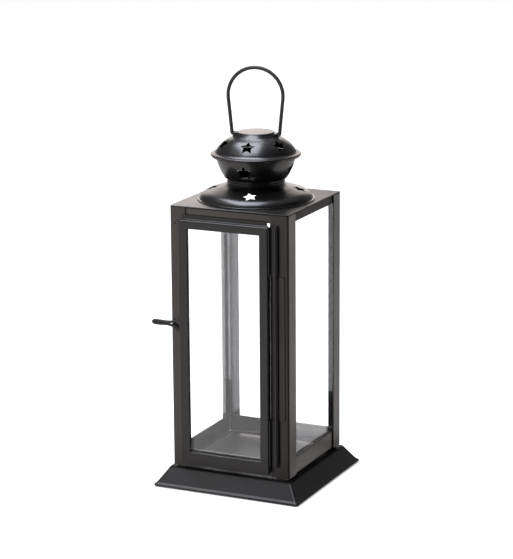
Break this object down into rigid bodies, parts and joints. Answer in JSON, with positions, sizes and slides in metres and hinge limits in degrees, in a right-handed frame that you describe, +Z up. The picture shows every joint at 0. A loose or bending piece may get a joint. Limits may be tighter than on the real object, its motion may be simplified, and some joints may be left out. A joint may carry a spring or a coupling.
{
  "type": "punched tin lantern",
  "caption": "Square candle lantern in black sheet steel with glass sides, a hinged glazed door, a spun chimney punched with stars and a wire bail",
  "frame": {"origin": "centre of the plinth's underside, in the plane that the lantern stands on", "axes": "+Z is up, -Y is the side of the door, +X is towards the door's hinge"},
  "size_m": [0.0956, 0.093, 0.2454],
  "materials": {
    "black_steel": "satin black powder coat on sheet steel",
    "pane_glass": "clear float glass"
  },
  "bodies": {
    "lantern_body": {"plinth": "black_steel", "roof_plate": "black_steel", "post_front_left": "black_steel", "post_front_right": "black_steel", "post_back_left": "black_steel", "post_back_right": "black_steel", "bottom_rail_front": "black_steel", "bottom_rail_right": "black_steel", "bottom_rail_back": "black_steel", "bottom_rail_left": "black_steel", "top_rail_front": "black_steel", "top_rail_right": "black_steel", "top_rail_back": "black_steel", "top_rail_left": "black_steel", "glass_right": "pane_glass", "glass_back": "pane_glass", "glass_left": "pane_glass", "glass_clips_right": "black_steel", "glass_clips_back": "black_steel", "glass_clips_left": "black_steel", "hinge_leaf_post": "black_steel", "hinge_pin": "black_steel", "chimney_hood": "black_steel", "neck_ring": "black_steel", "chimney_bowl": "black_steel", "chimney_cap": "black_steel"},
    "door": {"door_stile_left": "black_steel", "door_stile_right": "black_steel", "door_rail_top": "black_steel", "door_rail_bottom": "black_steel", "door_glass": "pane_glass", "door_glass_clips": "black_steel", "door_pull": "black_steel", "hinge_leaf_upper": "black_steel", "hinge_leaf_lower": "black_steel"},
    "bail": {"bail_handle": "black_steel"}
  },
  "joints": [
    {"name": "door_hinge", "type": "hinge", "parent": "lantern_body", "child": "door", "pos_m": [0.03, -0.03875, 0.088], "axis": [0, 0, 1], "range_deg": [0, 155]},
    {"name": "bail_pivot", "type": "hinge", "parent": "lantern_body", "child": "bail", "pos_m": [0, 0, 0.2055], "axis": [0.9833, 0.1822, 0], "range_deg": [-93, 93]}
  ]
}
